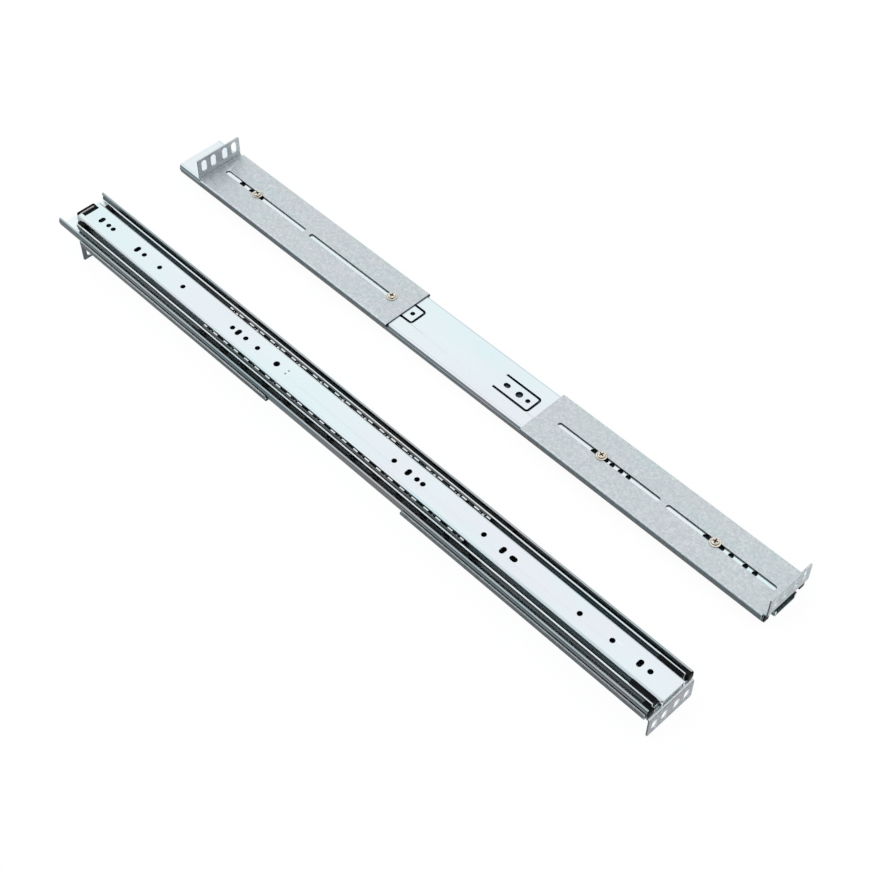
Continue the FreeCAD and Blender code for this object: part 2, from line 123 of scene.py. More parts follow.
azimuth, elevation, roll = (math.radians(a) for a in (45.552, 50.696, 0.423))
look = Vector((-math.sin(azimuth) * math.cos(elevation), math.cos(azimuth) * math.cos(elevation),
               -math.sin(elevation)))
right = look.cross(Vector((0, 0, 1))).normalized()
up = right.cross(look)
right, up = right * math.cos(roll) + up * math.sin(roll), up * math.cos(roll) - right * math.sin(roll)
camera_target = Vector((0.06243, -0.01868, 0.020))
camera_distance = 1.59534
camera_data = bpy.data.cameras.new("camera")
camera_data.sensor_width = 36
camera_data.lens = 69.90
camera = bpy.data.objects.new("camera", camera_data)
turn = Matrix((right, up, -look)).transposed().to_4x4()
camera.matrix_world = Matrix.Translation(camera_target - look * camera_distance) @ turn
bpy.context.collection.objects.link(camera)
bpy.context.scene.camera = camera


# ---- Outer channels -----------------------------------------------------------
# Roll-formed steel channels with a ball track in each wall and a row of holes and
# lanced tabs along the back, in blue-white zinc. The walls' outsides, the bends, the
# tracks and the cuts carry painted shade, darker than the plate, and the cuts are drawn
# wider than in the solids.

sides = ("left", "right")


def slide_to_row(side):
    """Matrix from a slide's own frame, X from the outer channel's rear end and Z out of its back, to the row's."""
    low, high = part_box(f"{side}_outer_member")
    middle = (low[1] + high[1]) / 2
    if side == "left":
        return Matrix.Translation((low[0], middle, low[2]))
    return Matrix.Translation((low[0], middle, high[2])) @ Matrix.Rotation(math.pi, 4, "X")


def shader_group(name, inputs, outputs):
    """A new shader node group with float or colour inputs and outputs, and its two end nodes."""
    group = bpy.data.node_groups.new(name, "ShaderNodeTree")
    for label, value in inputs.items():
        kind = "NodeSocketColor" if isinstance(value, tuple) else "NodeSocketFloat"
        group.interface.new_socket(label, in_out="INPUT", socket_type=kind).default_value = value
    for label, kind in outputs.items():
        group.interface.new_socket(label, in_out="OUTPUT", socket_type=kind)
    return group, group.nodes.new("NodeGroupInput"), group.nodes.new("NodeGroupOutput")


def noise(group, scale, stretch=(1, 1, 1), detail=2.0):
    """A noise over the object's own coordinates, its scale a socket or a number."""
    place = group.nodes.new("ShaderNodeTexCoord")
    mapping = group.nodes.new("ShaderNodeMapping")
    mapping.inputs["Scale"].default_value = stretch
    group.links.new(place.outputs["Object"], mapping.inputs["Vector"])
    texture = group.nodes.new("ShaderNodeTexNoise")
    texture.inputs["Detail"].default_value = detail
    group.links.new(mapping.outputs[0], texture.inputs["Vector"])
    if isinstance(scale, (int, float)):
        texture.inputs["Scale"].default_value = scale
    else:
        group.links.new(scale, texture.inputs["Scale"])
    return texture.outputs["Fac"]


def eased(group, value, low, high, to_low, to_high):
    """value from low..high to to_low..to_high, each end a socket or a number."""
    node = group.nodes.new("ShaderNodeMapRange")
    group.links.new(value, node.inputs["Value"])
    for label, end in (("From Min", low), ("From Max", high), ("To Min", to_low), ("To Max", to_high)):
        if isinstance(end, (int, float)):
            node.inputs[label].default_value = end
        else:
            group.links.new(end, node.inputs[label])
    return node.outputs["Result"]


def blended(group, factor, first, second):
    """Two colours mixed by a factor."""
    node = group.nodes.new("ShaderNodeMix")
    node.data_type = "RGBA"
    group.links.new(factor, node.inputs[0])
    group.links.new(first, node.inputs[6])
    group.links.new(second, node.inputs[7])
    return node.outputs[2]


# plate_clouds: zinc plate drifts from its plain colour to a rosy and to a blue tint
plate_clouds, ends_in, ends_out = shader_group(
    "plate_clouds",
    {"Plate": (0.78, 0.88, 0.92, 1), "Rosy": (0.8, 0.8, 0.84, 1), "Blue": (0.6, 0.85, 0.9, 1),
     "Cloud Scale": 14.0, "Amount": 0.5},
    {"Color": "NodeSocketColor"})
rosy = eased(plate_clouds, noise(plate_clouds, ends_in.outputs["Cloud Scale"], (0.5, 1.6, 1.6)),
             0.48, 0.72, 0.0, ends_in.outputs["Amount"])
blue = eased(plate_clouds, noise(plate_clouds, ends_in.outputs["Cloud Scale"], (0.8, 2.4, 2.4), 3.0),
             0.52, 0.3, 0.0, ends_in.outputs["Amount"])
tinted = blended(plate_clouds, rosy, ends_in.outputs["Plate"], ends_in.outputs["Rosy"])
plate_clouds.links.new(blended(plate_clouds, blue, tinted, ends_in.outputs["Blue"]), ends_out.inputs["Color"])

# rolled_lines: the fine lines that the rolls leave along a strip
rolled_lines, ends_in, ends_out = shader_group(
    "rolled_lines", {"Line Scale": 1.0, "Smooth": 0.2, "Rough": 0.32},
    {"Roughness": "NodeSocketFloat", "Height": "NodeSocketFloat"})
lines = noise(rolled_lines, ends_in.outputs["Line Scale"], (6, 900, 900), 3.0)
rolled_lines.links.new(eased(rolled_lines, lines, 0.3, 0.7, ends_in.outputs["Smooth"], ends_in.outputs["Rough"]),
                       ends_out.inputs["Roughness"])
rolled_lines.links.new(lines, ends_out.inputs["Height"])


def group_in(tree, group, values):
    """A node of the group in a material, with these values on its inputs."""
    node = tree.nodes.new("ShaderNodeGroup")
    node.node_tree = group
    for label, value in values.items():
        node.inputs[label].default_value = value
    return node


def bumped(tree, height, strength, distance):
    """A Bump node on a height."""
    bump = tree.nodes.new("ShaderNodeBump")
    bump.inputs["Strength"].default_value = strength
    bump.inputs["Distance"].default_value = distance
    tree.links.new(height, bump.inputs["Height"])
    return bump.outputs["Normal"]


def surface(material):
    """The material's emptied tree and its Principled shader, joined to the output."""
    tree, nodes, links = plain_nodes(material)
    shader = nodes.new("ShaderNodeBsdfPrincipled")
    links.new(shader.outputs[0], nodes.new("ShaderNodeOutputMaterial").inputs["Surface"])
    return tree, shader


def plated_steel(name, plate, rosy, blue, amount, smooth, rough, metallic=1.0, clouds=14.0, lines=1.0):
    """Rolled steel with zinc plate: tinted clouds and fine lines along the strip."""
    material = bpy.data.materials.new(name)
    tree, shader = surface(material)
    shader.inputs["Metallic"].default_value = metallic
    tint = group_in(tree, plate_clouds, {"Plate": (*plate, 1), "Rosy": (*rosy, 1), "Blue": (*blue, 1),
                                         "Cloud Scale": clouds, "Amount": amount})
    tree.links.new(tint.outputs["Color"], shader.inputs["Base Color"])
    strip = group_in(tree, rolled_lines, {"Line Scale": lines, "Smooth": smooth, "Rough": rough})
    tree.links.new(strip.outputs["Roughness"], shader.inputs["Roughness"])
    tree.links.new(bumped(tree, strip.outputs["Height"], strength=0.15, distance=0.00004), shader.inputs["Normal"])
    return material


zinc_face = plated_steel("zinc_face", (0.795, 0.89, 0.915), (0.81, 0.825, 0.88), (0.72, 0.89, 0.92),
                         0.85, 0.18, 0.3, clouds=9.0)
# painted shade: the walls' outsides, their crests and the sheet's bends are darker tones of the plate, set by which
# way each face turns
zinc_wall_shade = plated_steel("zinc_wall_shade", (0.075, 0.098, 0.108), (0.12, 0.115, 0.12), (0.045, 0.075, 0.085),
                         0.9, 0.22, 0.38)
zinc_bend_shade = plated_steel("zinc_bend_shade", (0.30, 0.37, 0.40), (0.36, 0.36, 0.40), (0.2, 0.31, 0.35), 0.8, 0.2, 0.34)
zinc_crest_shade = plated_steel("zinc_crest_shade", (0.17, 0.205, 0.22), (0.23, 0.22, 0.235), (0.11, 0.16, 0.18),
                          0.9, 0.2, 0.34)
zinc_web = plated_steel("zinc_web", (0.88, 0.94, 0.96), (0.93, 0.92, 0.95), (0.8, 0.92, 0.95), 0.6, 0.22, 0.36)
# painted shade: the outer channel's shoulders and the inner channel's rims, a little darker than the plate
zinc_rim_shade = plated_steel("zinc_rim_shade", (0.62, 0.70, 0.73), (0.68, 0.67, 0.72), (0.5, 0.64, 0.68), 0.8, 0.2, 0.34)
zinc_lip = plated_steel("zinc_lip", (0.42, 0.48, 0.50), (0.5, 0.48, 0.5), (0.32, 0.42, 0.46), 0.8, 0.22, 0.4)
# painted shade: the walls of punched holes, slots and cuts, near black
cut_shade = plated_steel("cut_shade", (0.012, 0.016, 0.018), (0.02, 0.02, 0.021), (0.008, 0.014, 0.016),
                           0.9, 0.4, 0.7)
# painted shade in the ball grooves and under the channels, the first of these two darker than the second
track_shade = plated_steel("track_shade", (0.06, 0.085, 0.092), (0.1, 0.1, 0.105), (0.03, 0.06, 0.07),
                             0.9, 0.2, 0.45, 0.85)
track_half_shade = plated_steel("track_half_shade", (0.17, 0.225, 0.24), (0.22, 0.22, 0.23), (0.1, 0.17, 0.19),
                            0.9, 0.2, 0.45, 0.85)
bare_edge = plated_steel("bare_edge", (0.72, 0.79, 0.82), (0.8, 0.76, 0.74), (0.6, 0.72, 0.76),
                         0.6, 0.24, 0.42, lines=0.5)

millimetres = 1000
doubles_reach = 1e-6
one_face_angle = math.radians(0.5)
broken_edge_angle = math.radians(40)
sharp_angle = math.radians(35)

# parts of a face's unit normal, which tell how it lies
square_on = 0.9999
level = 0.999
facing = 0.6
upright = 0.5


def dressed(node, body, finishes, finish_of, edge, splits=(), widen=0.0):
    """A packed sheet with its doubles merged, its edges broken and a finish for each kind of face.

    finish_of gets a face's middle and normal in the slide's own frame, in millimetres. splits are
    the distances from the slide's middle line at which faces are divided first. widen moves the walls
    of punched holes back by that many metres, so the holes are larger than in the solids.
    """
    to_row = slide_to_row(node.split("_")[0])
    back = to_row.inverted()
    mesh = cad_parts[node].data.copy()
    mesh.name = f"{node}_plated"
    mesh.materials.clear()
    work = bmesh.new()
    work.from_mesh(mesh)
    bmesh.ops.remove_doubles(work, verts=work.verts, dist=doubles_reach)
    bmesh.ops.dissolve_limit(work, angle_limit=one_face_angle, verts=work.verts, edges=work.edges)
    for reach in splits:
        for way in (-1, 1):
            bmesh.ops.bisect_plane(work, geom=work.verts[:] + work.edges[:] + work.faces[:], plane_no=(0, 1, 0),
                                   plane_co=to_row @ Vector((0, way * reach / millimetres, 0)))
    names = list(finishes)
    for face in work.faces:
        face.smooth = max(abs(axis) for axis in face.normal) < square_on
        kind = finish_of(back @ face.calc_center_median() * millimetres, (back.to_3x3() @ face.normal).normalized())
        face.material_index = names.index(kind)
    if widen:
        punched = names.index("cut")
        for vertex in work.verts:
            walls = [face.normal for face in vertex.link_faces if face.material_index == punched
                     and abs(face.normal.z) < upright]
            if walls:
                vertex.co -= sum(walls, Vector()).normalized() * widen
    work.to_mesh(mesh)
    work.free()
    for name in names:
        mesh.materials.append(finishes[name])
    piece = bpy.data.objects.new(f"{node}_plated", mesh)
    bpy.context.collection.objects.link(piece)
    rounding = piece.modifiers.new("broken_edges", "BEVEL")
    rounding.width = edge
    rounding.segments = 1
    rounding.limit_method = "ANGLE"
    rounding.angle_limit = broken_edge_angle
    rounding.use_clamp_overlap = True
    finished = bpy.data.meshes.new_from_object(piece.evaluated_get(bpy.context.evaluated_depsgraph_get()))
    piece.modifiers.clear()
    piece.data = finished
    finished.set_sharp_from_angle(angle=sharp_angle)
    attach(piece, body)
    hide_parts(node)


outer_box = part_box("left_outer_member")
outer_half = (outer_box[1][1] - outer_box[0][1]) * millimetres / 2
outer_length = (outer_box[1][0] - outer_box[0][0]) * millimetres
web_top = 1.8
skin = 0.3                  # how far a face's middle may lie off the sheet's surface
end_margin = 1
outer_wall_band = 3.2       # from the slide's side, in to the end of a wall's outer faces
outer_track_band = 6        # and in to the end of its track
outer_lip_foot = 8
shoulder_slope = 0.7
bend_slope = 0.25
sheet_edge = 0.00012
outer_widening = 0.00035


def outer_finish(middle, normal):
    outward = normal.y * middle.y > 0
    if normal.z < -level and middle.z < skin:
        return "face"
    if (abs(normal.z) < upright and abs(middle.y) < outer_half - outer_track_band and middle.z < web_top + skin
            and end_margin < middle.x < outer_length - end_margin):
        return "cut"
    if normal.z > facing and middle.z > outer_lip_foot:
        return "lip"
    if abs(middle.y) > outer_half - outer_wall_band and (outward or normal.z < 0) and abs(normal.x) < upright:
        if normal.z < -shoulder_slope:
            return "shoulder"
        if normal.z < -bend_slope:
            return "bend"
        return "crest" if normal.z > bend_slope else "wall"
    if normal.z > facing and middle.z < web_top + skin:
        return "web"
    if not outward and abs(normal.y) > 0.3 and abs(middle.y) > outer_half - outer_track_band:
        return "track"
    return "edge"


for side in sides:
    dressed(f"{side}_outer_member", "outer_pair",
            {"face": zinc_face, "wall": zinc_wall_shade, "shoulder": zinc_rim_shade, "bend": zinc_bend_shade, "crest": zinc_crest_shade,
             "web": zinc_web, "lip": zinc_lip, "cut": cut_shade, "track": track_shade, "edge": bare_edge},
            outer_finish, sheet_edge, widen=outer_widening)


# ---- Middle channels -----------------------------------------------------------
# The nested channel between the two rows of balls, rolled from the same plated
# strip. Its lips and floor are clean. Its walls and its underside carry painted
# shade, so the underside is dark when the slide is open as well.

middle_lip_foot = 12
middle_floor_top = 6


def middle_finish(middle, normal):
    if abs(normal.x) > facing or (normal.z > facing and middle.z > middle_lip_foot):
        return "edge"
    if normal.z > facing and middle.z < middle_floor_top:
        return "floor"
    if normal.z > facing or normal.y * middle.y < 0:
        return "pale"
    return "track"


for side in sides:
    dressed(f"{side}_middle_member", f"{side}_middle",
            {"edge": bare_edge, "floor": zinc_lip, "pale": track_half_shade, "track": track_shade},
            middle_finish, sheet_edge)


# ---- Inner channels ------------------------------------------------------------
# The channel that carries the chassis: a wide bright face with its rows of round
# holes, cross slots and the lever's rivet, and short flanges in painted shade. Its
# bends, dimples and hole walls are painted darker with shade as well. Holes are
# drawn wider than in the solids.

inner_face = 14.4
dimple_band = 5             # from the middle line, out to the end of the dimples
hole_band = 10              # and of the holes and slots
rim_band = 11               # where the bends to the flanges start
inner_wall_band = 12        # and the flanges
inner_widening = 0.0003
rivet_edge = 0.0001


def inner_finish(middle, normal):
    beside = abs(middle.y)
    if normal.z > level and middle.z > inner_face - 0.2:
        return "face"
    if beside < dimple_band and inner_face - 0.6 < middle.z < inner_face - 0.05:
        return "dimple"
    if (beside < hole_band and middle.z > inner_face - 2.5 and normal.z > -upright
            and abs(normal.x) < square_on):
        return "cut"
    if normal.z > 0.2 and beside > rim_band:
        return "rim"
    if normal.z < -facing or (abs(normal.y) > upright and beside > inner_wall_band):
        return "track"
    return "edge"


for side in sides:
    dressed(f"{side}_inner_member", f"{side}_inner",
            {"face": zinc_face, "rim": zinc_rim_shade, "dimple": zinc_bend_shade, "cut": cut_shade, "track": track_half_shade,
             "edge": bare_edge},
            inner_finish, sheet_edge, widen=inner_widening)
    # the rivet takes the near-black painted shade of the cuts all over
    dressed(f"{side}_lever_rivet", f"{side}_inner", {"cut": cut_shade}, lambda middle, normal: "cut", rivet_edge)


# ---- Ball cages ----------------------------------------------------------------
# Thin steel strips with a window for each ball and notched flanges, near black, the
# flanges' tops dark grey. A bright line along each notched flange is a painted
# highlight, not shape.

cage_strip = plated_steel("cage_strip", (0.022, 0.025, 0.027), (0.035, 0.033, 0.034), (0.015, 0.02, 0.022),
                          0.9, 0.4, 0.6)
flange_strip = plated_steel("flange_strip", (0.1, 0.112, 0.118), (0.14, 0.135, 0.135), (0.07, 0.095, 0.1),
                            0.9, 0.3, 0.5)
# painted highlight: a bright band along the top of each notched flange
highlight_strip = plated_steel("highlight_strip", (0.78, 0.83, 0.85), (0.84, 0.81, 0.81), (0.66, 0.76, 0.8), 0.8, 0.24, 0.4)
highlight_line = (16.1, 17.3)
flange_foot = 9
strip_edge = 0.00008


def flanged_cage_finish(middle, normal):
    if normal.z > facing and middle.z > flange_foot:
        return "highlight" if highlight_line[0] < abs(middle.y) < highlight_line[1] else "flange"
    return "strip"


for side in sides:
    dressed(f"{side}_outer_ball_cages", f"{side}_outer_cage", {"strip": cage_strip},
            lambda middle, normal: "strip", strip_edge)
    dressed(f"{side}_inner_ball_cages", f"{side}_inner_cage",
            {"strip": cage_strip, "flange": flange_strip, "highlight": highlight_strip}, flanged_cage_finish, strip_edge,
            highlight_line)


# ---- Balls ---------------------------------------------------------------------
# Hardened balls in two rows for each cage, evenly spaced: polished with a film of
# grease in the inner rows, and dark with painted shade in the outer rows.

ball_pitch = 0.0312


def patchy_metal(name, plain, rosy, blue, clouds, amount, lines, smooth, rough):
    """Metal in uneven patches of its plain colour and two other tones, with fine lines in its gloss."""
    material = bpy.data.materials.new(name)
    tree, shader = surface(material)
    shader.inputs["Metallic"].default_value = 1.0
    tint = group_in(tree, plate_clouds, {"Plate": (*plain, 1), "Rosy": (*rosy, 1), "Blue": (*blue, 1),
                                         "Cloud Scale": clouds, "Amount": amount})
    tree.links.new(tint.outputs["Color"], shader.inputs["Base Color"])
    strip = group_in(tree, rolled_lines, {"Line Scale": lines, "Smooth": smooth, "Rough": rough})
    tree.links.new(strip.outputs["Roughness"], shader.inputs["Roughness"])
    return material


grease_on_steel = (0.5, 0.48, 0.46)
# painted shade: the balls of the outer rows are near black
deep_ball_shade = (0.02, 0.024, 0.026)
ball_finish = {"inner": patchy_metal("ball_steel", (0.74, 0.76, 0.78), grease_on_steel, grease_on_steel,
                                     clouds=120.0, amount=0.5, lines=0.4, smooth=0.05, rough=0.16),
               "outer": patchy_metal("shaded_ball", (0.05, 0.06, 0.065), deep_ball_shade, deep_ball_shade,
                                     clouds=120.0, amount=0.8, lines=0.4, smooth=0.2, rough=0.4)}


def geometry_tree(name, inputs):
    """A new Geometry Nodes tree with these named inputs, and its two end nodes."""
    tree = bpy.data.node_groups.new(name, "GeometryNodeTree")
    tree.interface.new_socket("Geometry", in_out="INPUT", socket_type="NodeSocketGeometry")
    tree.interface.new_socket("Geometry", in_out="OUTPUT", socket_type="NodeSocketGeometry")
    for label, kind in inputs.items():
        tree.interface.new_socket(label, in_out="INPUT", socket_type=f"NodeSocket{kind}")
    return tree, tree.nodes.new("NodeGroupInput"), tree.nodes.new("NodeGroupOutput")


def grown(name, tree, values, seeds=((0, 0, 0),)):
    """A plain mesh object of what the tree makes from points at the seeds, with these values on its inputs."""
    mesh = bpy.data.meshes.new(name)
    mesh.from_pydata([tuple(seed) for seed in seeds], [], [])
    piece = bpy.data.objects.new(name, mesh)
    bpy.context.collection.objects.link(piece)
    modifier = piece.modifiers.new(name, "NODES")
    modifier.node_group = tree
    for item in tree.interface.items_tree:
        if item.in_out == "INPUT" and item.name in values:
            modifier[item.identifier] = values[item.name]
    finished = bpy.data.meshes.new_from_object(piece.evaluated_get(bpy.context.evaluated_depsgraph_get()))
    piece.modifiers.clear()
    piece.data = finished
    return piece


ball_rows, ends_in, ends_out = geometry_tree(
    "ball_rows", {"Count": "Int", "Pitch": "Float", "Diameter": "Float", "First Ball": "Vector",
                  "Row Spacing": "Float", "Finish": "Material"})
step = ball_rows.nodes.new("ShaderNodeCombineXYZ")
ball_rows.links.new(ends_in.outputs["Pitch"], step.inputs["X"])
across = ball_rows.nodes.new("ShaderNodeCombineXYZ")
ball_rows.links.new(ends_in.outputs["Row Spacing"], across.inputs["Y"])
row = ball_rows.nodes.new("GeometryNodeMeshLine")
ball_rows.links.new(ends_in.outputs["Count"], row.inputs["Count"])
ball_rows.links.new(ends_in.outputs["First Ball"], row.inputs["Start Location"])
ball_rows.links.new(step.outputs[0], row.inputs["Offset"])
shift = ball_rows.nodes.new("GeometryNodeTransform")
ball_rows.links.new(row.outputs[0], shift.inputs["Geometry"])
ball_rows.links.new(across.outputs[0], shift.inputs["Translation"])
both = ball_rows.nodes.new("GeometryNodeJoinGeometry")
ball_rows.links.new(row.outputs[0], both.inputs[0])
ball_rows.links.new(shift.outputs[0], both.inputs[0])
half = ball_rows.nodes.new("ShaderNodeMath")
half.operation = "MULTIPLY"
half.inputs[1].default_value = 0.5
ball_rows.links.new(ends_in.outputs["Diameter"], half.inputs[0])
ball = ball_rows.nodes.new("GeometryNodeMeshIcoSphere")
ball.inputs["Subdivisions"].default_value = 3
ball_rows.links.new(half.outputs[0], ball.inputs["Radius"])
round_ball = ball_rows.nodes.new("GeometryNodeSetShadeSmooth")
ball_rows.links.new(ball.outputs[0], round_ball.inputs["Geometry"])
placed = ball_rows.nodes.new("GeometryNodeInstanceOnPoints")
ball_rows.links.new(both.outputs[0], placed.inputs["Points"])
ball_rows.links.new(round_ball.outputs[0], placed.inputs["Instance"])
real = ball_rows.nodes.new("GeometryNodeRealizeInstances")
ball_rows.links.new(placed.outputs[0], real.inputs[0])
steel = ball_rows.nodes.new("GeometryNodeSetMaterial")
ball_rows.links.new(ends_in.outputs["Finish"], steel.inputs["Material"])
ball_rows.links.new(real.outputs[0], steel.inputs["Geometry"])
ball_rows.links.new(steel.outputs[0], ends_out.inputs[0])

for side in sides:
    for ring in ("outer", "inner"):
        node = f"{side}_{ring}_balls"
        low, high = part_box(node)
        ball_diameter = high[2] - low[2]
        count = round((high[0] - low[0] - ball_diameter) / ball_pitch) + 1
        first = (low[0] + ball_diameter / 2, low[1] + ball_diameter / 2, (low[2] + high[2]) / 2)
        balls = grown(f"{node}_polished", ball_rows,
                      {"Count": count, "Pitch": ball_pitch, "Diameter": ball_diameter, "First Ball": first,
                       "Row Spacing": high[1] - low[1] - ball_diameter, "Finish": ball_finish[ring]})
        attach(balls, f"{side}_{ring}_cage")
        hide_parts(node)


# ---- Stops, bumper and release lever -----------------------------------------------
# Moulded black nylon stops and lever, and a soft black rubber bumper pressed on
# the inner channel's rear end. The walls of the bumper's slot carry a pale painted
# highlight.

dull_specular = 0.06
bloom_shade = 0.6           # how dark the bloom's cool end is, to the plain colour


def moulded(name, colour, sheen, rough_low, rough_high, grain):
    """Moulded black plastic or rubber: a fine moulded grain and a faint uneven bloom."""
    material = bpy.data.materials.new(name)
    tree, shader = surface(material)
    shader.inputs["Specular IOR Level"].default_value = dull_specular
    bloom = group_in(tree, plate_clouds, {"Plate": (*colour, 1), "Rosy": (*sheen, 1),
                                          "Blue": (*[c * bloom_shade for c in colour], 1), "Cloud Scale": 90.0,
                                          "Amount": 0.6})
    tree.links.new(bloom.outputs["Color"], shader.inputs["Base Color"])
    moulding = group_in(tree, moulded_grain, {"Grain Scale": grain, "Smooth": rough_low, "Rough": rough_high})
    tree.links.new(moulding.outputs["Roughness"], shader.inputs["Roughness"])
    tree.links.new(bumped(tree, moulding.outputs["Height"], strength=0.3, distance=0.00005), shader.inputs["Normal"])
    return material


# moulded_grain: the even, pebbled grain of a spark-eroded mould
moulded_grain, ends_in, ends_out = shader_group(
    "moulded_grain", {"Grain Scale": 1500.0, "Smooth": 0.4, "Rough": 0.6},
    {"Roughness": "NodeSocketFloat", "Height": "NodeSocketFloat"})
grain = noise(moulded_grain, ends_in.outputs["Grain Scale"])
moulded_grain.links.new(eased(moulded_grain, grain, 0.35, 0.65, ends_in.outputs["Smooth"],
                              ends_in.outputs["Rough"]), ends_out.inputs["Roughness"])
moulded_grain.links.new(grain, ends_out.inputs["Height"])

nylon = moulded("black_nylon", (0.006, 0.0065, 0.007), (0.016, 0.016, 0.018), 0.42, 0.58, 1500.0)
rubber = moulded("black_rubber", (0.005, 0.005, 0.0055), (0.012, 0.012, 0.013), 0.6, 0.8, 900.0)
# painted highlight: pale on the walls of the bumper's slot
slot_highlight = moulded("slot_highlight", (0.86, 0.87, 0.88), (0.94, 0.94, 0.95), 0.4, 0.6, 900.0)
inner_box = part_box("left_inner_member")
inner_rear = (inner_box[0][0] - outer_box[0][0]) * millimetres
lit_slot_deep, lit_slot_shallow = 3.4, 1.4        # from the inner channel's rear end, back to the slot's faces
lit_slot_low, lit_slot_drop = 8, 2
nylon_edge = 0.0003
rubber_edge = 0.0006


def moulded_finish(middle, normal):
    in_slot = (inner_rear - lit_slot_deep < middle.x < inner_rear - lit_slot_shallow
               and lit_slot_low < middle.z < inner_face - lit_slot_drop)
    return "lit_slot" if in_slot and (normal.x > 0.9 or normal.z > 0.9) else "moulded"


for side in sides:
    for node, body, stuff, edge in (("outer_front_stops", "outer_pair", nylon, nylon_edge),
                                    ("middle_stops", f"{side}_middle", nylon, nylon_edge),
                                    ("release_lever", f"{side}_lever", nylon, nylon_edge),
                                    ("rear_bumper", f"{side}_inner", rubber, rubber_edge)):
        dressed(f"{side}_{node}", body, {"moulded": stuff, "lit_slot": slot_highlight}, moulded_finish, edge)


# ---- Mounting brackets ----------------------------------------------------------------
# L-shaped brackets of galvanised sheet: a long plate with two slots, low flanges
# that hold it straight on the channel, and an ear with four slots.

# spangle: the soft mottle of galvanised sheet
spangle, ends_in, ends_out = shader_group(
    "spangle", {"Spangle Scale": 220.0, "Plain": (0.58, 0.63, 0.66, 1), "Pale": (0.66, 0.7, 0.72, 1),
                "Smooth": 0.36, "Rough": 0.52},
    {"Color": "NodeSocketColor", "Roughness": "NodeSocketFloat", "Height": "NodeSocketFloat"})
place = spangle.nodes.new("ShaderNodeTexCoord")
crystals = spangle.nodes.new("ShaderNodeTexVoronoi")
crystals.feature = "SMOOTH_F1"
crystals.inputs["Smoothness"].default_value = 0.6
spangle.links.new(place.outputs["Object"], crystals.inputs["Vector"])
spangle.links.new(ends_in.outputs["Spangle Scale"], crystals.inputs["Scale"])
shade = spangle.nodes.new("ShaderNodeSeparateColor")
spangle.links.new(crystals.outputs["Color"], shade.inputs[0])
mottle = spangle.nodes.new("ShaderNodeMath")
mottle.operation = "MULTIPLY"
spangle.links.new(shade.outputs[0], mottle.inputs[0])
spangle.links.new(noise(spangle, 240.0, detail=3.0), mottle.inputs[1])
spangle.links.new(blended(spangle, eased(spangle, mottle.outputs[0], 0.0, 0.6, 0.0, 1.0),
                          ends_in.outputs["Plain"], ends_in.outputs["Pale"]), ends_out.inputs["Color"])
spangle.links.new(eased(spangle, shade.outputs[1], 0.0, 1.0, ends_in.outputs["Smooth"], ends_in.outputs["Rough"]),
                  ends_out.inputs["Roughness"])
spangle.links.new(shade.outputs[2], ends_out.inputs["Height"])


def galvanised(name, plain, pale, smooth, rough):
    """Galvanised sheet: a soft crystal mottle in its shade and gloss."""
    material = bpy.data.materials.new(name)
    tree, shader = surface(material)
    shader.inputs["Metallic"].default_value = 1.0
    mottle = group_in(tree, spangle, {"Spangle Scale": 620.0, "Pale": (*pale, 1), "Smooth": smooth, "Rough": rough})
    red, green, blue = plain
    tint = group_in(tree, plate_clouds, {"Plate": (*plain, 1), "Rosy": (red * 1.04, green * 0.97, blue * 1.03, 1),
                                         "Blue": (red * 0.91, green * 1.02, blue, 1), "Cloud Scale": 26.0,
                                         "Amount": 0.9})
    tree.links.new(tint.outputs["Color"], mottle.inputs["Plain"])
    tree.links.new(mottle.outputs["Color"], shader.inputs["Base Color"])
    tree.links.new(mottle.outputs["Roughness"], shader.inputs["Roughness"])
    tree.links.new(bumped(tree, mottle.outputs["Height"], strength=0.1, distance=0.00006), shader.inputs["Normal"])
    return material


galvanised_plate = galvanised("galvanised_plate", (0.525, 0.575, 0.60), (0.69, 0.73, 0.75), 0.4, 0.5)
# painted shade: the bends, flanges, creases, slot walls and ears are darker tones of the plate
galvanised_bend_shade = galvanised("galvanised_bend_shade", (0.26, 0.32, 0.35), (0.36, 0.42, 0.45), 0.36, 0.5)
galvanised_flange_shade = galvanised("galvanised_flange_shade", (0.08, 0.102, 0.114), (0.13, 0.153, 0.165), 0.38, 0.52)
galvanised_rim = galvanised("galvanised_rim", (0.54, 0.57, 0.58), (0.66, 0.68, 0.69), 0.36, 0.5)
galvanised_crease_shade = galvanised("galvanised_crease_shade", (0.2, 0.23, 0.24), (0.3, 0.33, 0.34), 0.4, 0.55)
slot_wall_shade = galvanised("slot_wall_shade", (0.02, 0.024, 0.026), (0.04, 0.045, 0.048), 0.4, 0.6)
galvanised_ear_shade = galvanised("galvanised_ear_shade", (0.40, 0.435, 0.45), (0.56, 0.59, 0.61), 0.36, 0.5)
plate_face = -1.6
plate_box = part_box("left_front_bracket")
plate_half = (plate_box[1][1] - plate_box[0][1]) * millimetres / 2
slot_band = 4               # from the middle line, out past the long slots
flange_band = 3.4           # from the plate's side, in to the end of its bend
bracket_edge = 0.0002


def bracket_finish(middle, normal):
    outward = normal.y * middle.y > 0
    if middle.z < plate_face - 0.1 and abs(normal.x) > 0.05:
        return "ear" if abs(normal.x) > 0.98 else "crease" if normal.z < -0.05 else "edge"
    if normal.z < -0.75:
        return "plate"
    if abs(middle.y) < slot_band and abs(normal.z) < upright and plate_face - 0.2 < middle.z < 0.2:
        return "cut"
    if normal.z > 0.1:
        return "rim" if middle.z > 1 else "plate"
    if outward and abs(middle.y) > plate_half - flange_band and abs(normal.y) > 0.05:
        return "flange" if abs(normal.y) > 0.9 else "bend"
    return "edge"


